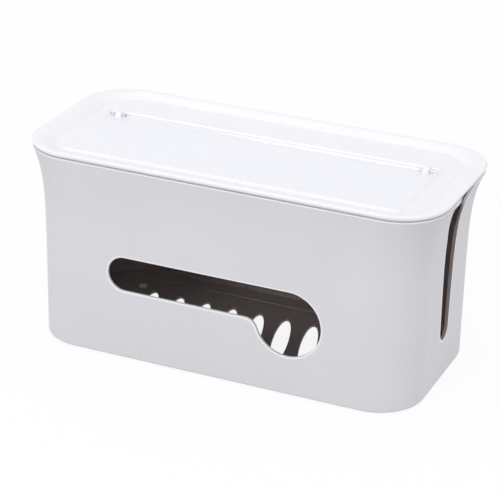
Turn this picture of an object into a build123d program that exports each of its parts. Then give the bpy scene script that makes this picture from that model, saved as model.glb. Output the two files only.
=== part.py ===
from build123d import *

import math
import os

# Desk-top cable management box: an open-topped moulded shell with a comma-shaped front window,
# open-topped end slots and a vented floor on four push-in feet, a lift-off lid with a shallow tray,
# and a clear flap that lies in the tray and turns up about two short pins.
#
# Millimetres, +Z up. The origin is on the surface the box stands on, under the middle of the box.
# +X is the end nearer the window's round lobe, -Y is the window side.

os.makedirs("parts", exist_ok=True)

# ---------------------------------------------------------------- shell
BASE_LENGTH = 300.0  # outside, across the ends at the floor
BASE_DEPTH = 146.0  # outside, window wall to back wall at the floor
BASE_CORNER = 36.0  # plan radius of the upright corners at the floor
SHELL_HEIGHT = 149.2  # underside of the floor to the top of the wall
DRAFT = 0.005  # outward lean of every wall, mm per mm of height
END_FLARE = 10.4  # how far each end curls out at the top, beyond the draft
FLARE_POWER = 8.0  # how late the curl starts: 1 is a straight lean
CORNER_GROWTH = 0.08  # share of the curl that the corner radius gains
WALL = 2.5
FLOOR = 2.5
FLOOR_EDGE_ROUND = 1.5  # outside, where the floor meets the walls
CAVITY_EDGE_ROUND = 1.2  # inside, where the floor meets the walls
RIM_EDGE_ROUND = 0.8  # both edges of the rim, which run on round the end slots

# ---------------------------------------------------------------- window in the front wall
WINDOW_TOP = 81.0  # above the underside of the floor
WINDOW_SLOT_HEIGHT = 26.5
WINDOW_SLOT_END_X = -71.5  # centre of the round left end
WINDOW_EDGE_ROUND = 0.6
LOBE_RADIUS = 25.3
LOBE_X = 57.7
LOBE_BLEND_RADIUS = 10.0  # rounding where the slot runs into the lobe

# ---------------------------------------------------------------- open-topped slot in each end wall
END_SLOT_WIDTH = 24.7  # between the straight sides, if they ran on to the rim
END_SLOT_BOTTOM = 32.0  # above the underside of the floor
END_SLOT_BOTTOM_RADIUS = 8.1  # the sides lean in to this round bottom
END_SLOT_MOUTH_WIDTH = 37.7  # at the rim, before the lead-in
END_SLOT_MOUTH_LEAN = 14.1  # degrees, from upright to the flared sides of the mouth
END_SLOT_MOUTH_BLEND_RADIUS = 60.0  # rounding where the straight sides turn into the mouth
END_SLOT_LEAD_IN = 2.5  # rounding of the two corners at the rim

# ---------------------------------------------------------------- floor
VENT_PITCH = 22.5
VENT_LENGTH = 74.0
VENT_WIDTH = 12.2
VENT_TILT = 15.0  # degrees from front-to-back
VENT_EDGE_ROUND = 0.5
BEAD_INSET = 18.0  # outside of the shell to the middle of the floor bead
BEAD_WIDTH = 1.6
BEAD_HEIGHT = 0.9
BEAD_EDGE_ROUND = 0.4

# ---------------------------------------------------------------- push-in feet
FOOT_RADIUS = 8.0
FOOT_HEIGHT = 1.0  # how far the shell stands off the table
FOOT_END_INSET = 38.0  # outside of an end wall to the middle of a foot
FOOT_SIDE_INSET = 35.0  # outside of the front or back wall to the middle of a foot
FOOT_STEM_RADIUS = 2.0
FOOT_STEM_CLEARANCE = 0.15
FOOT_HEAD_RADIUS = 3.2
FOOT_HEAD_HEIGHT = 1.3
FOOT_EDGE_ROUND = 0.35
FOOT_HEAD_ROUND = 0.8

# ---------------------------------------------------------------- lid
LID_OVERHANG = 0.2  # lid edge beyond the shell's rim
LID_SEAT_GAP = 0.3
LID_SEAT_HEIGHT = 1.9  # the seat lies on the rim and leaves a shadow gap under the lid's edge
LID_SEAT_INSET = 1.0  # outer face of the rim to the edge of the seat
LID_EDGE_HEIGHT = 2.3
LID_EDGE_ROUND = 1.0
LID_EDGE_LOWER_ROUND = 0.6
LID_CREST = 2.4  # lid edge to the top of the tray's slope
LID_FLOOR_THICKNESS = 2.2
TRAY_DEPTH = 5.0  # crest to tray floor
TRAY_SLOPE_END = 14.8  # width of the slope at each end
TRAY_SLOPE_SIDE = 6.3  # width of the slope along front and back
TRAY_CORNER = 28.0  # plan radius of the tray floor's corners
TRAY_FOOT_ROUND = 1.0  # where the slope runs out on the tray floor
SLOPE_POWER = 2.5  # 1 is a straight slope, more is flatter at the crest and steeper at the foot
SKIRT_DEPTH = 15.0  # below the shell's rim
SKIRT_THICKNESS = 2.0
SKIRT_CLEARANCE = 0.5

# ---------------------------------------------------------------- clear flap and its hinge
FLAP_END_GAP = 13.2  # end of the tray floor to the end of the flap
FLAP_FRONT_GAP = 8.2  # front of the tray floor to the front of the flap
FLAP_DEPTH = 77.5  # front edge to the hinge axis
FLAP_THICKNESS = 2.6
FLAP_CORNER = 5.0
FLAP_EDGE_ROUND = 0.5
FLAP_REST_GAP = 0.3
BARREL_RADIUS = 2.6
OUTER_KNUCKLE_LENGTH = 5.6  # of the flap's barrel, outside each lug
LUG_WIDTH = 4.0
LUG_SIDE_CLEARANCE = 0.4
LUG_FRONT_CLEARANCE = 0.6
PIN_RADIUS = 1.0
PIN_FIT_IN_LUG = 0.02
PIN_FIT_IN_FLAP = 0.06
PIN_INNER_REACH = 3.5  # into the flap's long barrel
PIN_RECESS = 0.4  # pin end below the outer face of the barrel

# ---------------------------------------------------------------- heights worked out from the above
shell_z = FOOT_HEIGHT
cavity_z = shell_z + FLOOR
rim_z = shell_z + SHELL_HEIGHT
seat_z = rim_z + LID_SEAT_GAP
edge_z = seat_z + LID_SEAT_HEIGHT
crest_z = edge_z + LID_EDGE_HEIGHT
tray_z = crest_z - TRAY_DEPTH
skirt_z = rim_z - SKIRT_DEPTH
flap_z = tray_z + FLAP_REST_GAP
hinge_z = flap_z + BARREL_RADIUS

# ---------------------------------------------------------------- how the curved forms are drawn
SECTION_SHARES = (0.0, 0.12, 0.25, 0.38, 0.5, 0.62, 0.72, 0.82, 0.9, 0.96, 1.0)  # of the shell's height
SLOPE_SHARES = (0.0, 0.2, 0.4, 0.6, 0.8, 1.0)  # of the slope's width
CUT_MARGIN = 5.0  # how far a cutting shape runs past what it cuts
SIDES = (("left", -1), ("right", 1))
ROWS = (("front", -1), ("rear", 1))


def end_curl(height):
    """Outward curl of one end at a height above the shell's underside."""
    return END_FLARE * (height / SHELL_HEIGHT) ** FLARE_POWER


def half_length(height):
    """Middle of the shell to the outside of an end wall at a height above its underside."""
    return BASE_LENGTH / 2 + DRAFT * height + end_curl(height)


def half_depth(height):
    """Middle of the shell to the outside of the front wall at a height above its underside."""
    return BASE_DEPTH / 2 + DRAFT * height


def corner_radius(height):
    """Plan radius of the shell's corners at a height above its underside."""
    return BASE_CORNER + DRAFT * height + CORNER_GROWTH * end_curl(height)


def shell_outline(height, inset=0.0):
    """Draw the shell's plan outline at a height, moved inwards by an inset."""
    RectangleRounded(
        2 * (half_length(height) - inset),
        2 * (half_depth(height) - inset),
        corner_radius(height) - inset,
    )


# ================================================================ box shell
foot_x = BASE_LENGTH / 2 - FOOT_END_INSET
foot_y = BASE_DEPTH / 2 - FOOT_SIDE_INSET

# the leaning ovals fill the floor between the left and the right feet
vent_lean = math.radians(VENT_TILT)
vent_reach = math.hypot(VENT_WIDTH / 2 * math.cos(vent_lean), VENT_LENGTH / 2 * math.sin(vent_lean))
vents_each_side = math.floor((foot_x - FOOT_RADIUS - vent_reach) / VENT_PITCH)

# half the width that the mouth of an end slot gains per mm of height
mouth_slope = math.tan(math.radians(END_SLOT_MOUTH_LEAN))

with BuildPart() as box_shell:
    for share in SECTION_SHARES:
        with BuildSketch(Plane.XY.offset(shell_z + share * SHELL_HEIGHT)):
            shell_outline(share * SHELL_HEIGHT)
    loft()
    underside = box_shell.faces().sort_by(Axis.Z)[0]
    fillet(underside.edges(), FLOOR_EDGE_ROUND)

    # the cavity, with its floor edge rounded
    for share in SECTION_SHARES:
        height = FLOOR + share * (SHELL_HEIGHT - FLOOR)
        with BuildSketch(Plane.XY.offset(shell_z + height)):
            shell_outline(height, WALL)
    loft(mode=Mode.SUBTRACT)
    cavity_floor = box_shell.faces().filter_by(Axis.Z).sort_by_distance((0, 0, cavity_z))[0]
    fillet(cavity_floor.edges(), CAVITY_EDGE_ROUND)

    # end slots, open at the rim, with a flared mouth and straight sides that lean in to a round bottom
    with BuildSketch(Plane.YZ) as end_slot:
        with Locations((0, shell_z + END_SLOT_BOTTOM + END_SLOT_BOTTOM_RADIUS)):
            Circle(END_SLOT_BOTTOM_RADIUS)
        with Locations((0, rim_z)):
            Rectangle(END_SLOT_WIDTH, CUT_MARGIN, align=(Align.CENTER, Align.MIN))
        make_hull()
        with Locations((0, rim_z + CUT_MARGIN)):
            Trapezoid(
                END_SLOT_MOUTH_WIDTH + 2 * CUT_MARGIN * mouth_slope,
                CUT_MARGIN + (END_SLOT_MOUTH_WIDTH / 2 - END_SLOT_BOTTOM_RADIUS) / mouth_slope,
                90 - END_SLOT_MOUTH_LEAN,
                rotation=180,
                align=(Align.CENTER, Align.MIN),
            )
        mouth_starts = end_slot.vertices().group_by(Axis.Y)[1]
        fillet(mouth_starts, END_SLOT_MOUTH_BLEND_RADIUS)
    extrude(amount=half_length(SHELL_HEIGHT) + CUT_MARGIN, both=True, mode=Mode.SUBTRACT)
    rim = box_shell.faces().filter_by(Axis.Z).group_by(Axis.Z)[-1]
    fillet(rim.edges().filter_by(Axis.X).group_by(SortBy.LENGTH)[0], END_SLOT_LEAD_IN)

    # the rim's edges run on smoothly round both end slots
    rim = box_shell.faces().filter_by(Axis.Z).group_by(Axis.Z)[-1]
    fillet(rim.edges().filter_by(Axis.X, reverse=True), RIM_EDGE_ROUND)

    # comma-shaped window: a slot with a round left end that runs into a round lobe
    with BuildSketch(Plane.XZ.offset(half_depth(SHELL_HEIGHT) + CUT_MARGIN)) as window:
        with Locations((WINDOW_SLOT_END_X, shell_z + WINDOW_TOP - WINDOW_SLOT_HEIGHT / 2)):
            Circle(WINDOW_SLOT_HEIGHT / 2)
            Rectangle(LOBE_X - WINDOW_SLOT_END_X, WINDOW_SLOT_HEIGHT, align=(Align.MIN, Align.CENTER))
        with Locations((LOBE_X, shell_z + WINDOW_TOP - LOBE_RADIUS)):
            Circle(LOBE_RADIUS)
        throat = window.vertices().group_by(Axis.Y)[0].sort_by(Axis.X)[-1]
        fillet(throat, LOBE_BLEND_RADIUS)
    extrude(amount=-(WALL + 2 * CUT_MARGIN), mode=Mode.SUBTRACT)
    fillet(box_shell.edges(Select.LAST).filter_by(Axis.Y, reverse=True), WINDOW_EDGE_ROUND)

    # floor: a low bead, the leaning oval vents and the holes for the feet
    with BuildSketch(Plane.XY.offset(cavity_z)):
        bead_middle_length = BASE_LENGTH - 2 * BEAD_INSET
        bead_middle_depth = BASE_DEPTH - 2 * BEAD_INSET
        RectangleRounded(bead_middle_length, bead_middle_depth, BASE_CORNER - BEAD_INSET)
        offset(amount=BEAD_WIDTH / 2)
        offset(amount=-BEAD_WIDTH, mode=Mode.SUBTRACT)
    extrude(amount=BEAD_HEIGHT)
    fillet(box_shell.faces(Select.LAST).filter_by(Axis.Z).sort_by(Axis.Z)[-1].edges(), BEAD_EDGE_ROUND)
    with BuildSketch(Plane.XY.offset(shell_z)):
        with GridLocations(VENT_PITCH, 0, 2 * vents_each_side + 1, 1):
            Ellipse(VENT_WIDTH / 2, VENT_LENGTH / 2, rotation=VENT_TILT)
    extrude(amount=FLOOR, mode=Mode.SUBTRACT)
    fillet(box_shell.edges(Select.LAST).filter_by(GeomType.ELLIPSE), VENT_EDGE_ROUND)
    with BuildSketch(Plane.XY.offset(shell_z)):
        with GridLocations(2 * foot_x, 2 * foot_y, 2, 2):
            Circle(FOOT_STEM_RADIUS + FOOT_STEM_CLEARANCE)
    extrude(amount=FLOOR, mode=Mode.SUBTRACT)

box_shell.part.label = "box_shell"
export_step(box_shell.part, "parts/box_shell.step")

# ================================================================ push-in feet
for side_name, side in SIDES:
    for row_name, row in ROWS:
        with BuildPart() as foot:
            for start_z, radius, length in (
                (0, FOOT_RADIUS, FOOT_HEIGHT),
                (shell_z, FOOT_STEM_RADIUS, FLOOR),
                (cavity_z, FOOT_HEAD_RADIUS, FOOT_HEAD_HEIGHT),
            ):
                with BuildSketch(Plane.XY.offset(start_z)):
                    with Locations((side * foot_x, row * foot_y)):
                        Circle(radius)
                extrude(amount=length)
            fillet(foot.faces().sort_by(Axis.Z)[0].edges(), FOOT_EDGE_ROUND)
            fillet(foot.faces().sort_by(Axis.Z)[-1].edges(), FOOT_HEAD_ROUND)
        foot.part.label = f"foot_{row_name}_{side_name}"
        export_step(foot.part, f"parts/foot_{row_name}_{side_name}.step")

# ================================================================ lid with its tray
lid_half_length = half_length(SHELL_HEIGHT) + LID_OVERHANG
lid_half_depth = half_depth(SHELL_HEIGHT) + LID_OVERHANG
lid_corner = corner_radius(SHELL_HEIGHT) + LID_OVERHANG
tray_half_length = lid_half_length - LID_CREST - TRAY_SLOPE_END
tray_half_depth = lid_half_depth - LID_CREST - TRAY_SLOPE_SIDE

# the flap and its hinge take their places from the tray floor
flap_half_length = tray_half_length - FLAP_END_GAP
flap_front_y = FLAP_FRONT_GAP - tray_half_depth
hinge_y = flap_front_y + FLAP_DEPTH
notch_outer_x = flap_half_length - OUTER_KNUCKLE_LENGTH
lug_outer_x = notch_outer_x - LUG_SIDE_CLEARANCE
lug_inner_x = lug_outer_x - LUG_WIDTH
notch_inner_x = lug_inner_x - LUG_SIDE_CLEARANCE
pin_inner_x = notch_inner_x - PIN_INNER_REACH
pin_outer_x = flap_half_length - PIN_RECESS


def tray_outline(share):
    """Draw the plan outline of the tray's hollow at a share of its slope's width."""
    RectangleRounded(
        2 * (tray_half_length + share * TRAY_SLOPE_END),
        2 * (tray_half_depth + share * TRAY_SLOPE_SIDE),
        TRAY_CORNER + share * (lid_corner - LID_CREST - TRAY_CORNER),
    )


def slope_rise(share):
    """Height of the tray's slope above its foot at a share of its width."""
    return TRAY_DEPTH * (1 - (1 - share) ** SLOPE_POWER)


with BuildPart() as lid_tray:
    # the seat that lies on the rim, and the edge above it
    with BuildSketch(Plane.XY.offset(seat_z)):
        shell_outline(SHELL_HEIGHT, LID_SEAT_INSET)
    extrude(amount=LID_SEAT_HEIGHT)
    with BuildSketch(Plane.XY.offset(edge_z)):
        RectangleRounded(2 * lid_half_length, 2 * lid_half_depth, lid_corner)
    extrude(amount=LID_EDGE_HEIGHT)
    edge_underside, crest = lid_tray.faces().filter_by(Axis.Z).sort_by(Axis.Z)[1:]
    fillet(crest.edges(), LID_EDGE_ROUND)
    fillet(edge_underside.outer_wire().edges(), LID_EDGE_LOWER_ROUND)

    # the underside of the tray, the skirt inside the shell and the tray's hollow
    for share in SLOPE_SHARES:
        with BuildSketch(Plane.XY.offset(tray_z - LID_FLOOR_THICKNESS + slope_rise(share))):
            tray_outline(share)
    loft()
    with BuildSketch(Plane.XY.offset(skirt_z)):
        shell_outline(SHELL_HEIGHT - SKIRT_DEPTH, WALL + SKIRT_CLEARANCE)
        offset(amount=-SKIRT_THICKNESS, mode=Mode.SUBTRACT)
    extrude(amount=seat_z - skirt_z)
    for share in SLOPE_SHARES:
        with BuildSketch(Plane.XY.offset(tray_z + slope_rise(share))):
            tray_outline(share)
    loft(mode=Mode.SUBTRACT)
    tray_floor = lid_tray.faces().filter_by(Axis.Z).sort_by_distance((0, 0, tray_z))[0]
    fillet(tray_floor.edges(), TRAY_FOOT_ROUND)

    # the two pierced lugs that carry the flap's pins
    for side_name, side in SIDES:
        with BuildSketch(Plane.YZ.offset(side * lug_inner_x)):
            with Locations((hinge_y, hinge_z)):
                Circle(BARREL_RADIUS)
                Rectangle(2 * BARREL_RADIUS, hinge_z - tray_z, align=(Align.CENTER, Align.MAX))
                Circle(PIN_RADIUS + PIN_FIT_IN_LUG, mode=Mode.SUBTRACT)
        extrude(amount=side * LUG_WIDTH)

lid_tray.part.label = "lid_tray"
export_step(lid_tray.part, "parts/lid_tray.step")

# ================================================================ clear flap
with BuildPart() as clear_flap:
    with BuildSketch(Plane.XY.offset(flap_z)) as plate:
        with Locations((0, hinge_y)):
            Rectangle(2 * flap_half_length, FLAP_DEPTH, align=(Align.CENTER, Align.MAX))
        fillet(plate.vertices().group_by(Axis.Y)[0], FLAP_CORNER)
    extrude(amount=FLAP_THICKNESS)
    front_edges = clear_flap.faces().filter_by(Axis.Z).edges().filter_by(Axis.X).group_by(Axis.Y)[0]
    fillet(front_edges, FLAP_EDGE_ROUND)

    # the hinge barrel along the rear edge, with a notch for each lug and a bore for each pin
    with BuildSketch(Plane.YZ.offset(-flap_half_length)):
        with Locations((hinge_y, hinge_z)):
            Circle(BARREL_RADIUS)
    extrude(amount=2 * flap_half_length)
    notch_size = 2 * (BARREL_RADIUS + LUG_FRONT_CLEARANCE)
    for side_name, side in SIDES:
        with BuildSketch(Plane.YZ.offset(side * notch_inner_x)):
            with Locations((hinge_y, hinge_z)):
                Rectangle(notch_size, notch_size)
        extrude(amount=side * (notch_outer_x - notch_inner_x), mode=Mode.SUBTRACT)
        with BuildSketch(Plane.YZ.offset(side * pin_inner_x)):
            with Locations((hinge_y, hinge_z)):
                Circle(PIN_RADIUS + PIN_FIT_IN_FLAP)
        extrude(amount=side * (flap_half_length - pin_inner_x), mode=Mode.SUBTRACT)

clear_flap.part.label = "clear_flap"
export_step(clear_flap.part, "parts/clear_flap.step")

# ================================================================ hinge pins
for side_name, side in SIDES:
    with BuildPart() as hinge_pin:
        with BuildSketch(Plane.YZ.offset(side * pin_inner_x)):
            with Locations((hinge_y, hinge_z)):
                Circle(PIN_RADIUS)
        extrude(amount=side * (pin_outer_x - pin_inner_x))
    hinge_pin.part.label = f"hinge_pin_{side_name}"
    export_step(hinge_pin.part, f"parts/hinge_pin_{side_name}.step")
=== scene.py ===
import math

import bpy
from bpy.props import FloatProperty, FloatVectorProperty, PointerProperty
from mathutils import Matrix, Vector

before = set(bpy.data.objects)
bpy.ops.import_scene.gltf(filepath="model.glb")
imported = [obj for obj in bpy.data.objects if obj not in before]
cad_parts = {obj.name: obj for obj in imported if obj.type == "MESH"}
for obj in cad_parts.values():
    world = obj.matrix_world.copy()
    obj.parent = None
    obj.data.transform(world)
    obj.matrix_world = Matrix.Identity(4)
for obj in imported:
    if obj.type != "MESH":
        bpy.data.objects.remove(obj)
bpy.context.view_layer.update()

bl_info = {
    "name": "Cable management box",
    "version": (1, 0, 0),
    "blender": (4, 5, 0),
    "location": "3D View > Sidebar > Cable box",
    "description": "Finishes and a plain studio for a moulded cable management box",
    "category": "Object",
}

FEET = ("foot_front_left", "foot_front_right", "foot_rear_left", "foot_rear_right")
PINS = ("hinge_pin_left", "hinge_pin_right")

# ------------------------------------------------------------------ where a finish, a painted shade or a painted highlight changes, in metres
# A pair of ends is a soft change: the finish comes in from the first end to the second.
RIM = 0.1502  # height of the shell's rim
RIM_EDGE = {"From Min": 0.1492, "From Max": 0.1495}  # heights, up the rim's rounded edge
PAINTED_TOP_SHADE = {"From Min": 0.1, "From Max": 0.148}  # heights, up the walls, of the painted shade at the flared top
RECESS = {"From Min": 0.138, "From Max": 0.130}  # heights, down past the foot of the lid's skirt
UNDERSIDE = 0.002  # the floor's lower face lies below this height
FRONT_FACE = -0.0729  # the front wall's outer face lies in front of this
END_WALL = 0.14  # the end walls lie beyond this, left and right
CORNER = (0.114, 0.037, 1.0)  # middle of a rounded corner in plan, so high up that heights don't count
INNER_FACE = {"From Min": 0.0344, "From Max": 0.0341}  # distance from that middle to the inner face
FLARE = 0.0104  # how far the end walls curl out at the rim
FLARE_POWER = 8.0  # how late the curl starts

END_SLOT_BOTTOM = 0.0411  # height of the middle of the round bottom
END_SLOT_RADIUS = 0.0081  # of the round bottom, where the straight sides start
END_SLOT_LEAN = 0.0389  # what the straight sides gain for each metre of height
MOUTH_LEAN = 0.2512  # what the sides of the flared mouth gain
MOUTH_START = -0.00855  # half its width at END_SLOT_BOTTOM, under 0 as its sides would have crossed there
MOUTH_BLEND = 0.002
END_SLOT_JAMB = {"From Min": 0.0003, "From Max": 0.0001}  # distances out from the slot's edge
END_SLOT_LIP = {"From Min": 0.0024, "From Max": 0.0016}

WINDOW_LEFT = -0.0715  # middle of the slot's round left end
WINDOW_HEIGHT = 0.06875  # height of the slot's middle line
WINDOW_RADIUS = 0.01325  # half the slot's width
LOBE = (0.0577, 0.0, 0.0567)  # middle of the lobe that the slot runs into
LOBE_RADIUS = 0.0253
THROAT = 0.062  # the lower corner where they meet lies below this height
THROAT_BLEND = 0.013
WINDOW_LIP = {"From Min": 0.0017, "From Max": 0.0011}  # distances out from the window's edge

SEAT_FOOT = 0.1504  # the lid's seat begins just above this height
SEAT_BAND = {"From Min": 0.1518, "From Max": 0.1511}  # heights, down the seat's outer side
BARREL_FRONT = 0.0175  # the flap's barrel lies behind this

# ------------------------------------------------------------------ sizes of patterns, in metres
MELT_DRIFT = 0.06
RUBBER_BLOOM = 0.004
RUBBER_SKIN = 0.0005
RUBBED_PATCH = 0.035
WIRE_LINE = 0.0002

ABS_IOR = 1.52
PLATE_IOR = 1.49  # under polystyrene's own 1.59, which keeps the reflections on the plate faint


def colour(code):
    """An sRGB hex colour such as "D7D6DB" as linear red, green, blue and a full alpha."""
    shares = [int(code[i:i + 2], 16) / 255 for i in (0, 2, 4)]
    linear = [s / 12.92 if s <= 0.04045 else ((s + 0.055) / 1.055) ** 2.4 for s in shares]
    return (*linear, 1.0)


WHITE = colour("FFFFFF")


# ------------------------------------------------------------------ what a user would change
class ShellFinish(bpy.types.PropertyGroup):
    outside: FloatVectorProperty(
        name="Outside", description="Colour of the outer walls",
        subtype="COLOR", size=4, default=colour("DDDCE1"))
    # painted shade: the hollow of the box is given a darker colour where shade falls in it
    inside: FloatVectorProperty(
        name="Inside", description="Colour of the cavity",
        subtype="COLOR", size=4, default=colour("A89D9B"))
    # painted highlight on the lips of the window, the end slots and the rim
    edges: FloatVectorProperty(
        name="Edges", description="Colour of the burnished edges",
        subtype="COLOR", size=4, default=colour("F2F1F5"))
    grain: FloatProperty(
        name="Grain", description="Size of the eroded grain on the outer walls",
        unit="LENGTH", default=0.0009)
    grain_depth: FloatProperty(
        name="Grain depth", description="Depth of the eroded grain", unit="LENGTH", default=0.00003)


class LidFinish(bpy.types.PropertyGroup):
    white: FloatVectorProperty(
        name="White", description="Colour of the lid and its tray",
        subtype="COLOR", size=4, default=colour("F7F7FC"))
    # painted shade for the gap above the rim
    seat_shade: FloatVectorProperty(
        name="Seat", description="Colour in the gap above the rim",
        subtype="COLOR", size=4, default=colour("B4B3B8"))
    ripple: FloatProperty(
        name="Ripple", description="Spacing of the faint waviness left by moulding",
        unit="LENGTH", default=0.018)
    ripple_depth: FloatProperty(
        name="Ripple depth", description="Depth of the waviness", unit="LENGTH", default=0.000012)


class FlapFinish(bpy.types.PropertyGroup):
    tint: FloatVectorProperty(
        name="Tint", description="Colour that the clear plate takes from light passing through",
        subtype="COLOR", size=4, default=colour("FCFDFF"))
    veil: FloatVectorProperty(
        name="Veil", description="Share of the lamps' light that reaches the tray under the plate",
        subtype="COLOR", size=4, default=colour("FEFEFF"))
    # the frosted edges' colour, which is also the colour of the painted glow that follows
    edges: FloatVectorProperty(
        name="Edges", description="Colour of the plate's frosted edges",
        subtype="COLOR", size=4, default=colour("F3F4F7"))
    painted_glow: FloatProperty(
        name="Glow", description="Light that leaves the plate at its edges, where 1 is white", default=0.08)
    hairline: FloatProperty(
        name="Hairlines", description="Spacing of the hairline scratches of use",
        unit="LENGTH", default=0.004)


class SmallPartsFinish(bpy.types.PropertyGroup):
    rubber: FloatVectorProperty(
        name="Rubber", description="Colour of the push-in feet",
        subtype="COLOR", size=4, default=colour("F0F0F1"))
    steel: FloatVectorProperty(
        name="Steel", description="Colour of the hinge pins",
        subtype="COLOR", size=4, default=colour("C2C2C6"))


class StudioSettings(bpy.types.PropertyGroup):
    sky: FloatProperty(name="Sky", description="Even light from all sides, where 1 is white", default=0.81)
    key: FloatProperty(name="Key", description="Power of the soft lamp in front", unit="POWER", default=11.0)
    top: FloatProperty(name="Top", description="Power of the broad lamp overhead", unit="POWER", default=2.6)
    fill: FloatProperty(
        name="Fill", description="Power of the weak lamp at the right end", unit="POWER", default=3.0)
    floor: FloatVectorProperty(
        name="Floor", description="Colour of the floor as it lights the box",
        subtype="COLOR", size=4, default=colour("D4D4D4"))
    lit_share: FloatProperty(
        name="Lit share", description="Share of the floor that shows plain white, the rest takes the shadow",
        subtype="FACTOR", default=0.9)
    azimuth: FloatProperty(
        name="Azimuth", description="Camera's turn about the box",
        subtype="ANGLE", default=math.radians(23.372))
    elevation: FloatProperty(
        name="Elevation", description="Camera's height above the horizon",
        subtype="ANGLE", default=math.radians(24.458))
    roll: FloatProperty(
        name="Roll", description="Camera's turn about its own line of sight",
        subtype="ANGLE", default=math.radians(1.334))
    distance: FloatProperty(
        name="Distance", description="Camera to the point it looks at", unit="LENGTH", default=1.5263)
    aim: FloatVectorProperty(
        name="Aim", description="The point the camera looks at",
        subtype="TRANSLATION", default=(0.00438, -0.01947, 0.08219))
    lens: FloatProperty(
        name="Lens", description="Focal length in millimetres on a 36 mm sensor", default=150.0)


class CableBoxSettings(bpy.types.PropertyGroup):
    shell: PointerProperty(type=ShellFinish)
    lid: PointerProperty(type=LidFinish)
    flap: PointerProperty(type=FlapFinish)
    small: PointerProperty(type=SmallPartsFinish)
    studio: PointerProperty(type=StudioSettings)


# ------------------------------------------------------------------ helpers
def add_node(tree, kind, inputs=None, **settings):
    """Add a node with its settings, and fill its inputs with values, sockets or nodes.

    A node given as an input is linked by the first of its outputs that is in use.
    """
    node = tree.nodes.new(kind)
    for name, value in settings.items():
        setattr(node, name, value)
    for socket, value in (inputs or {}).items():
        if isinstance(value, bpy.types.Node):
            value = next(output for output in value.outputs if output.enabled)
        if isinstance(value, bpy.types.NodeSocket):
            tree.links.new(value, node.inputs[socket])
        else:
            node.inputs[socket].default_value = value
    return node


def new_tree(owner):
    """Turn on an owner's nodes and return its empty node tree."""
    owner.use_nodes = True
    owner.node_tree.nodes.clear()
    return owner.node_tree


def finish_nodes(names, material, shader):
    """End a material with its shader and give it to the CAD nodes with these names."""
    add_node(material.node_tree, "ShaderNodeOutputMaterial", {"Surface": shader})
    for name in names:
        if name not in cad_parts:
            raise RuntimeError(f"the frame has no node named {name}")
        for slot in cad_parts[name].material_slots:
            slot.material = material


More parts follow.
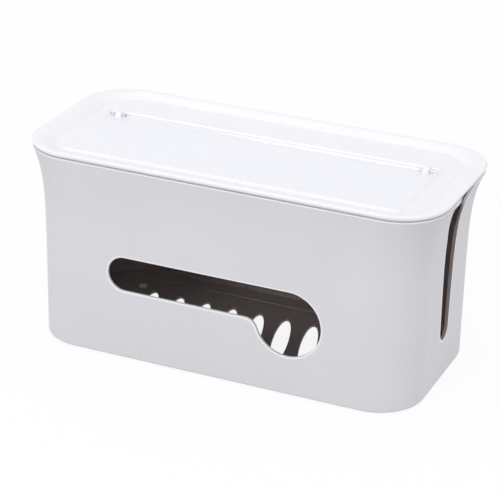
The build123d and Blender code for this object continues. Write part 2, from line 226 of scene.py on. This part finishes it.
# ------------------------------------------------------------------ pieces
class CABLEBOX_OT_shell(bpy.types.Operator):
    """Finish the box shell: grained outside, with painted shade in its hollow and painted highlights on its
    lips
    """
    bl_idname = "cablebox.shell"
    bl_label = "Box shell"

    def execute(self, context):
        look = context.scene.cable_box.shell
        # moulded ABS, spark-eroded outside: an even satin grey whose fine grain softens every highlight
        material = bpy.data.materials.new("moulded_grained_abs")
        tree = new_tree(material)
        place = add_node(tree, "ShaderNodeTexCoord").outputs["Object"]
        spot = add_node(tree, "ShaderNodeSeparateXYZ", {"Vector": place}).outputs
        reach = add_node(tree, "ShaderNodeVectorMath", {0: place}, operation="ABSOLUTE")
        side = add_node(tree, "ShaderNodeSeparateXYZ", {"Vector": reach}).outputs
        at_end = add_node(tree, "ShaderNodeMath", {0: side["X"], 1: END_WALL}, operation="GREATER_THAN")
        slot_gap = self.end_slot_gap(tree, side["Y"], spot["Z"])
        jamb = add_node(tree, "ShaderNodeMapRange", {"Value": slot_gap, **END_SLOT_JAMB})
        painted_cavity_shade = self.painted_cavity_shade(tree, reach, spot["Z"], jamb, at_end)
        painted_highlight = self.painted_highlight(tree, place, spot, slot_gap, jamb, at_end)

        # slow drift in tone, as where the melt flowed
        drift = add_node(
            tree, "ShaderNodeTexNoise", {"Vector": place, "Scale": 1 / MELT_DRIFT, "Detail": 2.0})
        tone = add_node(
            tree, "ShaderNodeMapRange",
            {"Value": drift, "From Min": 0.3, "From Max": 0.7, "To Min": 0.985, "To Max": 1.01})
        # painted shade: the walls are painted a shade darker towards the flared top
        painted_top_shade = add_node(
            tree, "ShaderNodeMapRange", {"Value": spot["Z"], **PAINTED_TOP_SHADE, "To Min": 1.0, "To Max": 0.945})
        shade = add_node(tree, "ShaderNodeMath", {0: tone, 1: painted_top_shade}, operation="MULTIPLY")
        # the hollow takes a darker colour as painted shade, and the lips a paler one as painted highlight
        hue = add_node(
            tree, "ShaderNodeMix", {"Factor": painted_cavity_shade, 6: look.outside, 7: look.inside}, data_type="RGBA")
        edged = add_node(
            tree, "ShaderNodeMix", {"Factor": painted_highlight, 6: hue, 7: look.edges}, data_type="RGBA")
        base = add_node(tree, "ShaderNodeVectorMath", {0: edged, "Scale": shade}, operation="SCALE")

        # the grain is drawn at 0.9 mm, coarser than the real 0.1 mm, so that it shows at arm's length
        grain = add_node(
            tree, "ShaderNodeTexNoise",
            {"Vector": place, "Scale": 1 / look.grain, "Detail": 3.0, "Roughness": 0.6})
        depth = add_node(tree, "ShaderNodeMapRange", {"Value": painted_cavity_shade, "To Min": 1.0, "To Max": 0.15})
        bump = add_node(
            tree, "ShaderNodeBump", {"Height": grain, "Strength": depth, "Distance": look.grain_depth})
        gloss = add_node(tree, "ShaderNodeMapRange", {"Value": painted_cavity_shade, "To Min": 0.46, "To Max": 0.34})
        blotch = add_node(tree, "ShaderNodeMath", {0: drift, 1: 0.08, 2: gloss}, operation="MULTIPLY_ADD")
        shader = add_node(
            tree, "ShaderNodeBsdfPrincipled",
            {"Base Color": base, "Roughness": blotch, "IOR": ABS_IOR, "Normal": bump})
        finish_nodes(("box_shell",), material, shader)
        return {"FINISHED"}

    def painted_cavity_shade(self, tree, reach, height, jamb, at_end):
        """1 where the painted shade of the hollow lies: between the walls and through the end slots, below
        the recess.
        """
        # distance in from the outer walls, whose ends curl out towards the rim
        share = add_node(tree, "ShaderNodeMath", {0: height, 1: RIM}, operation="DIVIDE", use_clamp=True)
        curl = add_node(tree, "ShaderNodeMath", {0: share, 1: FLARE_POWER}, operation="POWER")
        spread = add_node(tree, "ShaderNodeMath", {0: curl, 1: FLARE}, operation="MULTIPLY")
        outward = add_node(tree, "ShaderNodeCombineXYZ", {"X": spread})
        corner = add_node(tree, "ShaderNodeVectorMath", {0: outward, 1: CORNER}, operation="ADD")
        past = add_node(tree, "ShaderNodeVectorMath", {0: reach, 1: corner}, operation="SUBTRACT")
        beyond = add_node(tree, "ShaderNodeVectorMath", {0: past, 1: (0, 0, 0)}, operation="MAXIMUM")
        radius = add_node(tree, "ShaderNodeVectorMath", {0: beyond}, operation="LENGTH")
        within = add_node(tree, "ShaderNodeMapRange", {"Value": radius, **INNER_FACE})
        above = add_node(tree, "ShaderNodeMath", {0: height, 1: UNDERSIDE}, operation="GREATER_THAN")
        deep = add_node(tree, "ShaderNodeMath", {0: within, 1: above}, operation="MULTIPLY")

        # the painted shade runs over the jambs of the end slots right to the outer face, while the window's
        # sill stays pale
        through = add_node(tree, "ShaderNodeMath", {0: jamb, 1: at_end}, operation="MULTIPLY")
        dark = add_node(tree, "ShaderNodeMath", {0: deep, 1: through}, operation="MAXIMUM")
        below = add_node(tree, "ShaderNodeMapRange", {"Value": height, **RECESS})
        return add_node(tree, "ShaderNodeMath", {0: dark, 1: below}, operation="MULTIPLY")

    def painted_highlight(self, tree, place, spot, slot_gap, jamb, at_end):
        """1 on the lips of the window, the end slots and the rim, which get a painted highlight that makes
        them paler than the faces.
        """
        window_gap = self.window_gap(tree, place, spot)
        sill = add_node(tree, "ShaderNodeMapRange", {"Value": window_gap, **WINDOW_LIP})
        at_front = add_node(tree, "ShaderNodeMath", {0: spot["Y"], 1: FRONT_FACE}, operation="LESS_THAN")
        framed = add_node(tree, "ShaderNodeMath", {0: sill, 1: at_front}, operation="MULTIPLY")

        cheek = add_node(tree, "ShaderNodeMapRange", {"Value": slot_gap, **END_SLOT_LIP})
        bare = add_node(tree, "ShaderNodeMath", {0: 1.0, 1: jamb}, operation="SUBTRACT")
        lip = add_node(tree, "ShaderNodeMath", {0: cheek, 1: bare}, operation="MULTIPLY")
        edge = add_node(tree, "ShaderNodeMath", {0: lip, 1: at_end}, operation="MULTIPLY")

        cut_edge = add_node(tree, "ShaderNodeMath", {0: framed, 1: edge}, operation="MAXIMUM")
        rim = add_node(tree, "ShaderNodeMapRange", {"Value": spot["Z"], **RIM_EDGE})
        return add_node(tree, "ShaderNodeMath", {0: cut_edge, 1: rim}, operation="MAXIMUM")

    def end_slot_gap(self, tree, across, height):
        """Distance out from the edge of the end slots: a round bottom, leaning sides and a flared mouth."""
        over = add_node(tree, "ShaderNodeMath", {0: height, 1: END_SLOT_BOTTOM}, operation="SUBTRACT")
        rise = add_node(tree, "ShaderNodeMath", {0: over, 1: 0.0}, operation="MAXIMUM")
        straight = add_node(
            tree, "ShaderNodeMath", {0: rise, 1: END_SLOT_LEAN, 2: END_SLOT_RADIUS}, operation="MULTIPLY_ADD")
        flared = add_node(
            tree, "ShaderNodeMath", {0: rise, 1: MOUTH_LEAN, 2: MOUTH_START}, operation="MULTIPLY_ADD")
        half = add_node(
            tree, "ShaderNodeMath", {0: straight, 1: flared, 2: MOUTH_BLEND}, operation="SMOOTH_MAX")
        sink = add_node(tree, "ShaderNodeMath", {0: over, 1: 0.0}, operation="MINIMUM")
        offset = add_node(tree, "ShaderNodeCombineXYZ", {"X": across, "Y": sink})
        away = add_node(tree, "ShaderNodeVectorMath", {0: offset}, operation="LENGTH")
        return add_node(tree, "ShaderNodeMath", {0: away, 1: half}, operation="SUBTRACT")

    def window_gap(self, tree, place, spot):
        """Distance out from the edge of the window: a long slot that runs into a lobe by a round throat."""
        along = add_node(tree, "ShaderNodeMath", {0: spot["X"], 1: WINDOW_LEFT}, operation="MAXIMUM")
        nearest = add_node(tree, "ShaderNodeMath", {0: along, 1: LOBE[0]}, operation="MINIMUM")
        spine = add_node(tree, "ShaderNodeCombineXYZ", {"X": nearest, "Z": WINDOW_HEIGHT})
        front = add_node(tree, "ShaderNodeVectorMath", {0: place, 1: (1, 0, 1)}, operation="MULTIPLY")
        to_spine = add_node(tree, "ShaderNodeVectorMath", {0: front, 1: spine}, operation="DISTANCE")
        to_lobe = add_node(tree, "ShaderNodeVectorMath", {0: front, 1: LOBE}, operation="DISTANCE")
        slot = add_node(tree, "ShaderNodeMath", {0: to_spine, 1: WINDOW_RADIUS}, operation="SUBTRACT")
        lobe = add_node(tree, "ShaderNodeMath", {0: to_lobe, 1: LOBE_RADIUS}, operation="SUBTRACT")
        throat = add_node(tree, "ShaderNodeMath", {0: spot["Z"], 1: THROAT}, operation="LESS_THAN")
        blend = add_node(tree, "ShaderNodeMath", {0: throat, 1: THROAT_BLEND}, operation="MULTIPLY")
        return add_node(tree, "ShaderNodeMath", {0: slot, 1: lobe, 2: blend}, operation="SMOOTH_MIN")


class CABLEBOX_OT_feet(bpy.types.Operator):
    """Finish the four push-in feet"""
    bl_idname = "cablebox.feet"
    bl_label = "Feet"

    def execute(self, context):
        look = context.scene.cable_box.small
        # moulded thermoplastic rubber: pale, dull, with a chalky bloom that breaks up the tone
        material = bpy.data.materials.new("moulded_soft_rubber")
        tree = new_tree(material)
        place = add_node(tree, "ShaderNodeTexCoord").outputs["Object"]
        bloom = add_node(
            tree, "ShaderNodeTexNoise", {"Vector": place, "Scale": 1 / RUBBER_BLOOM, "Detail": 4.0})
        tone = add_node(
            tree, "ShaderNodeMapRange",
            {"Value": bloom, "From Min": 0.3, "From Max": 0.7, "To Min": 0.93, "To Max": 1.04})
        base = add_node(tree, "ShaderNodeVectorMath", {0: look.rubber[:3], "Scale": tone}, operation="SCALE")
        skin = add_node(
            tree, "ShaderNodeTexNoise", {"Vector": place, "Scale": 1 / RUBBER_SKIN, "Detail": 2.0})
        bump = add_node(tree, "ShaderNodeBump", {"Height": skin, "Strength": 1.0, "Distance": 0.00003})
        dull = add_node(tree, "ShaderNodeMapRange", {"Value": bloom, "To Min": 0.66, "To Max": 0.84})
        shader = add_node(
            tree, "ShaderNodeBsdfPrincipled",
            {"Base Color": base, "Roughness": dull, "IOR": 1.5, "Normal": bump})
        finish_nodes(FEET, material, shader)
        return {"FINISHED"}


class CABLEBOX_OT_lid(bpy.types.Operator):
    """Finish the lid with its tray"""
    bl_idname = "cablebox.lid"
    bl_label = "Lid"

    def execute(self, context):
        look = context.scene.cable_box.lid
        # polished white ABS: bright and clean, with a soft sheen that wavers a little over the flat parts
        material = bpy.data.materials.new("polished_white_abs")
        tree = new_tree(material)
        source = add_node(tree, "ShaderNodeTexCoord").outputs
        place = source["Object"]
        ripple = add_node(
            tree, "ShaderNodeTexNoise", {"Vector": place, "Scale": 1 / look.ripple, "Detail": 1.0})
        bump = add_node(
            tree, "ShaderNodeBump", {"Height": ripple, "Strength": 1.0, "Distance": look.ripple_depth})
        # patches rubbed duller by use
        rubbed = add_node(
            tree, "ShaderNodeTexNoise", {"Vector": place, "Scale": 1 / RUBBED_PATCH, "Detail": 2.0})
        gloss = add_node(
            tree, "ShaderNodeMapRange",
            {"Value": rubbed, "From Min": 0.35, "From Max": 0.7, "To Min": 0.24, "To Max": 0.30})
        tone = add_node(
            tree, "ShaderNodeMapRange",
            {"Value": rubbed, "From Min": 0.3, "From Max": 0.7, "To Min": 0.997, "To Max": 1.002})

        # painted shade: the outer side of the lid's seat is painted darker, so that the gap above the rim
        # shows as a dark line
        height = add_node(tree, "ShaderNodeSeparateXYZ", {"Vector": place}).outputs["Z"]
        low = add_node(tree, "ShaderNodeMapRange", {"Value": height, **SEAT_BAND})
        high = add_node(tree, "ShaderNodeMath", {0: height, 1: SEAT_FOOT}, operation="GREATER_THAN")
        banded = add_node(tree, "ShaderNodeMath", {0: low, 1: high}, operation="MULTIPLY")
        level = add_node(tree, "ShaderNodeVectorMath", {0: place, 1: (1, 1, 0)}, operation="MULTIPLY")
        outward = add_node(
            tree, "ShaderNodeVectorMath", {0: level, 1: source["Normal"]}, operation="DOT_PRODUCT")
        # a little under 0, so that level faces count as outer ones
        outer = add_node(tree, "ShaderNodeMath", {0: outward, 1: -0.001}, operation="GREATER_THAN")
        painted_gap_shade = add_node(tree, "ShaderNodeMath", {0: banded, 1: outer}, operation="MULTIPLY")
        hue = add_node(
            tree, "ShaderNodeMix", {"Factor": painted_gap_shade, 6: look.white, 7: look.seat_shade}, data_type="RGBA")
        base = add_node(tree, "ShaderNodeVectorMath", {0: hue, "Scale": tone}, operation="SCALE")
        shader = add_node(
            tree, "ShaderNodeBsdfPrincipled",
            {"Base Color": base, "Roughness": gloss, "IOR": ABS_IOR, "Normal": bump})
        finish_nodes(("lid_tray",), material, shader)
        return {"FINISHED"}


class CABLEBOX_OT_flap(bpy.types.Operator):
    """Finish the clear flap"""
    bl_idname = "cablebox.flap"
    bl_label = "Clear flap"

    def execute(self, context):
        look = context.scene.cable_box.flap
        # moulded clear polystyrene: water-clear faces, pale frosted edges with a painted glow, hairline
        # scratches from use
        material = bpy.data.materials.new("clear_polystyrene")
        tree = new_tree(material)
        source = add_node(tree, "ShaderNodeTexCoord").outputs
        stretch = 14  # how many times longer than wide a scratch is
        slant = 0.5  # radians
        drawn = add_node(
            tree, "ShaderNodeMapping",
            {"Vector": source["Object"], "Rotation": (0, 0, slant), "Scale": (1, stretch, 1)})
        scratch = add_node(
            tree, "ShaderNodeTexNoise",
            {"Vector": drawn, "Scale": 1 / (stretch * look.hairline), "Detail": 3.0, "Roughness": 0.7})
        worn = add_node(
            tree, "ShaderNodeMapRange",
            {"Value": scratch, "From Min": 0.5, "From Max": 0.75, "To Min": 0.03, "To Max": 0.09})
        bump = add_node(tree, "ShaderNodeBump", {"Height": scratch, "Strength": 0.3, "Distance": 0.000004})
        clear = add_node(
            tree, "ShaderNodeBsdfPrincipled",
            {"Base Color": look.tint, "Roughness": worn, "IOR": PLATE_IOR, "Transmission Weight": 1.0,
             "Normal": bump})

        # the plate's upright faces and the barrel's end faces are frosted where they were trimmed
        facing = add_node(tree, "ShaderNodeVectorMath", {0: source["Normal"]}, operation="ABSOLUTE")
        turned = add_node(tree, "ShaderNodeSeparateXYZ", {"Vector": facing}).outputs
        upright = add_node(
            tree, "ShaderNodeMapRange", {"Value": turned["Z"], "From Min": 0.97, "From Max": 0.7})
        along_depth = add_node(tree, "ShaderNodeSeparateXYZ", {"Vector": source["Object"]}).outputs["Y"]
        plate = add_node(tree, "ShaderNodeMath", {0: along_depth, 1: BARREL_FRONT}, operation="LESS_THAN")
        end_face = add_node(tree, "ShaderNodeMath", {0: turned["X"], 1: 0.8}, operation="GREATER_THAN")
        either = add_node(tree, "ShaderNodeMath", {0: plate, 1: end_face}, operation="MAXIMUM")
        trimmed = add_node(tree, "ShaderNodeMath", {0: upright, 1: either}, operation="MULTIPLY")
        # painted glow: these edges give off a little light of their own, standing in for light gathered by
        # the whole plate that leaves here, so they look paler than they are lit
        frosted = add_node(
            tree, "ShaderNodeBsdfPrincipled",
            {"Base Color": look.edges, "Roughness": 0.4, "IOR": PLATE_IOR, "Emission Color": look.edges,
             "Emission Strength": look.painted_glow})
        body = add_node(tree, "ShaderNodeMixShader", {"Fac": trimmed, 1: clear, 2: frosted})

        # light on its way to the tray passes straight through, so that the tray under the plate stays
        # bright, and light caught between the faces is let out after a few turns, so that the barrel
        # doesn't go black
        path = add_node(tree, "ShaderNodeLightPath").outputs
        lighting = add_node(
            tree, "ShaderNodeMath", {0: path["Is Shadow Ray"], 1: path["Is Diffuse Ray"]},
            operation="MAXIMUM")
        caught = add_node(tree, "ShaderNodeMath", {0: path["Ray Depth"], 1: 2.5}, operation="GREATER_THAN")
        passing = add_node(tree, "ShaderNodeMath", {0: lighting, 1: caught}, operation="MAXIMUM")
        veil = add_node(tree, "ShaderNodeBsdfTransparent", {"Color": look.veil})
        shader = add_node(tree, "ShaderNodeMixShader", {"Fac": passing, 1: body, 2: veil})
        finish_nodes(("clear_flap",), material, shader)
        return {"FINISHED"}


class CABLEBOX_OT_pins(bpy.types.Operator):
    """Finish the two hinge pins"""
    bl_idname = "cablebox.pins"
    bl_label = "Hinge pins"

    def execute(self, context):
        look = context.scene.cable_box.small
        # drawn steel wire: fine bright lines along the pin
        material = bpy.data.materials.new("drawn_steel_wire")
        tree = new_tree(material)
        place = add_node(tree, "ShaderNodeTexCoord").outputs["Object"]
        stretch = 20  # how many times longer than wide a line is
        along = add_node(tree, "ShaderNodeMapping", {"Vector": place, "Scale": (1 / stretch, 1, 1)})
        lines = add_node(tree, "ShaderNodeTexNoise", {"Vector": along, "Scale": 1 / WIRE_LINE, "Detail": 2.0})
        gloss = add_node(tree, "ShaderNodeMapRange", {"Value": lines, "To Min": 0.24, "To Max": 0.42})
        bump = add_node(tree, "ShaderNodeBump", {"Height": lines, "Strength": 0.6, "Distance": 0.00001})
        shader = add_node(
            tree, "ShaderNodeBsdfPrincipled",
            {"Base Color": look.steel, "Metallic": 1.0, "Roughness": gloss, "Normal": bump})
        finish_nodes(PINS, material, shader)
        return {"FINISHED"}


# ------------------------------------------------------------------ stage
class CABLEBOX_OT_stage(bpy.types.Operator):
    """Build the pale floor, the soft light and the camera"""
    bl_idname = "cablebox.stage"
    bl_label = "Studio"

    def execute(self, context):
        scene = context.scene
        scene.view_settings.view_transform = "Standard"
        self.floor(scene, scene.cable_box.studio)
        self.sky(scene, scene.cable_box.studio)
        self.lamps(scene, scene.cable_box.studio)
        self.camera(scene, scene.cable_box.studio)
        return {"FINISHED"}

    def floor(self, scene, studio):
        """A floor that is white to the eye and still takes the box's shadow."""
        far = 6  # metres from the middle to each edge
        mesh = bpy.data.meshes.new("floor")
        mesh.from_pydata([(-far, -far, 0), (far, -far, 0), (far, far, 0), (-far, far, 0)], [], [(0, 1, 2, 3)])
        floor = bpy.data.objects.new("floor", mesh)
        scene.collection.objects.link(floor)
        material = bpy.data.materials.new("studio_paper")
        tree = new_tree(material)
        seen = self.seen(tree)
        # it sends up less light than it shows, so that the walls aren't lit from below
        shown = add_node(tree, "ShaderNodeMix", {"Factor": seen, 6: studio.floor, 7: WHITE}, data_type="RGBA")
        paper = add_node(tree, "ShaderNodeBsdfDiffuse", {"Color": shown})
        white = add_node(tree, "ShaderNodeEmission", {"Color": WHITE, "Strength": 1.0})
        lit = add_node(tree, "ShaderNodeMath", {0: seen, 1: studio.lit_share}, operation="MULTIPLY")
        mixed = add_node(tree, "ShaderNodeMixShader", {"Fac": lit, 1: paper, 2: white})
        add_node(tree, "ShaderNodeOutputMaterial", {"Surface": mixed})
        mesh.materials.append(material)

    def sky(self, scene, studio):
        """Even light from all sides, shown as plain white."""
        scene.world = bpy.data.worlds.new("studio")
        tree = new_tree(scene.world)
        soft = add_node(tree, "ShaderNodeBackground", {"Color": WHITE, "Strength": studio.sky})
        white = add_node(tree, "ShaderNodeBackground", {"Color": WHITE, "Strength": 1.0})
        mixed = add_node(tree, "ShaderNodeMixShader", {"Fac": self.seen(tree), 1: soft, 2: white})
        add_node(tree, "ShaderNodeOutputWorld", {"Surface": mixed})

    def lamps(self, scene, studio):
        """A soft lamp in front that looks in at the window, a broad one overhead, a weak one at the right."""
        middle = Vector((0, 0, 0.08))
        for name, place, size, energy in (
            ("key", (-0.5, -1.97, 1.1), 0.8, studio.key),
            ("top", (-0.2, -0.3, 2.1), 1.6, studio.top),
            ("fill", (1.9, -0.1, 0.5), 1.0, studio.fill),
        ):
            light = bpy.data.lights.new(name, "AREA")
            light.size = size
            light.energy = energy
            lamp = bpy.data.objects.new(name, light)
            lamp.location = place
            lamp.rotation_euler = (middle - lamp.location).to_track_quat("-Z", "Y").to_euler()
            scene.collection.objects.link(lamp)

    def camera(self, scene, studio):
        """A camera that looks at the aim from its azimuth, elevation and distance."""
        lens = bpy.data.cameras.new("camera")
        lens.lens = studio.lens
        lens.sensor_width = 36.0
        lens.clip_start = 0.05
        lens.clip_end = 50.0
        camera = bpy.data.objects.new("camera", lens)
        back = Vector((
            math.sin(studio.azimuth) * math.cos(studio.elevation),
            -math.cos(studio.azimuth) * math.cos(studio.elevation),
            math.sin(studio.elevation)))
        level = (-back).cross(Vector((0, 0, 1))).normalized()
        rise = level.cross(-back)
        right = level * math.cos(studio.roll) + rise * math.sin(studio.roll)
        up = rise * math.cos(studio.roll) - level * math.sin(studio.roll)
        turn = Matrix((right, up, back)).transposed().to_4x4()
        camera.matrix_world = Matrix.Translation(studio.aim + back * studio.distance) @ turn
        scene.collection.objects.link(camera)
        scene.camera = camera

    def seen(self, tree):
        """1 for what the camera sees straight on, in a reflection or through something clear."""
        path = add_node(tree, "ShaderNodeLightPath").outputs
        direct = add_node(
            tree, "ShaderNodeMath", {0: path["Is Camera Ray"], 1: path["Is Glossy Ray"]}, operation="MAXIMUM")
        return add_node(
            tree, "ShaderNodeMath", {0: direct, 1: path["Is Transmission Ray"]}, operation="MAXIMUM")


class CABLEBOX_PT_panel(bpy.types.Panel):
    """Sizes, colours and steps of the cable box"""
    bl_label = "Cable box"
    bl_idname = "CABLEBOX_PT_panel"
    bl_space_type = "VIEW_3D"
    bl_region_type = "UI"
    bl_category = "Cable box"

    def draw(self, context):
        settings = context.scene.cable_box
        for group, steps in (
            (settings.shell, ("cablebox.shell",)),
            (settings.lid, ("cablebox.lid",)),
            (settings.flap, ("cablebox.flap",)),
            (settings.small, ("cablebox.feet", "cablebox.pins")),
            (settings.studio, ("cablebox.stage",)),
        ):
            box = self.layout.box()
            for name in group.__annotations__:
                box.prop(group, name)
            for step in steps:
                box.operator(step)


CLASSES = (
    ShellFinish, LidFinish, FlapFinish, SmallPartsFinish, StudioSettings, CableBoxSettings,
    CABLEBOX_OT_shell, CABLEBOX_OT_feet, CABLEBOX_OT_lid, CABLEBOX_OT_flap, CABLEBOX_OT_pins,
    CABLEBOX_OT_stage, CABLEBOX_PT_panel,
)


def register():
    for kind in CLASSES:
        bpy.utils.register_class(kind)
    bpy.types.Scene.cable_box = PointerProperty(type=CableBoxSettings)


def unregister():
    del bpy.types.Scene.cable_box
    for kind in reversed(CLASSES):
        bpy.utils.unregister_class(kind)


def main():
    register()
    bpy.ops.cablebox.shell()
    bpy.ops.cablebox.feet()
    bpy.ops.cablebox.lid()
    bpy.ops.cablebox.flap()
    bpy.ops.cablebox.pins()
    bpy.ops.cablebox.stage()


if __name__ == "__main__":
    main()
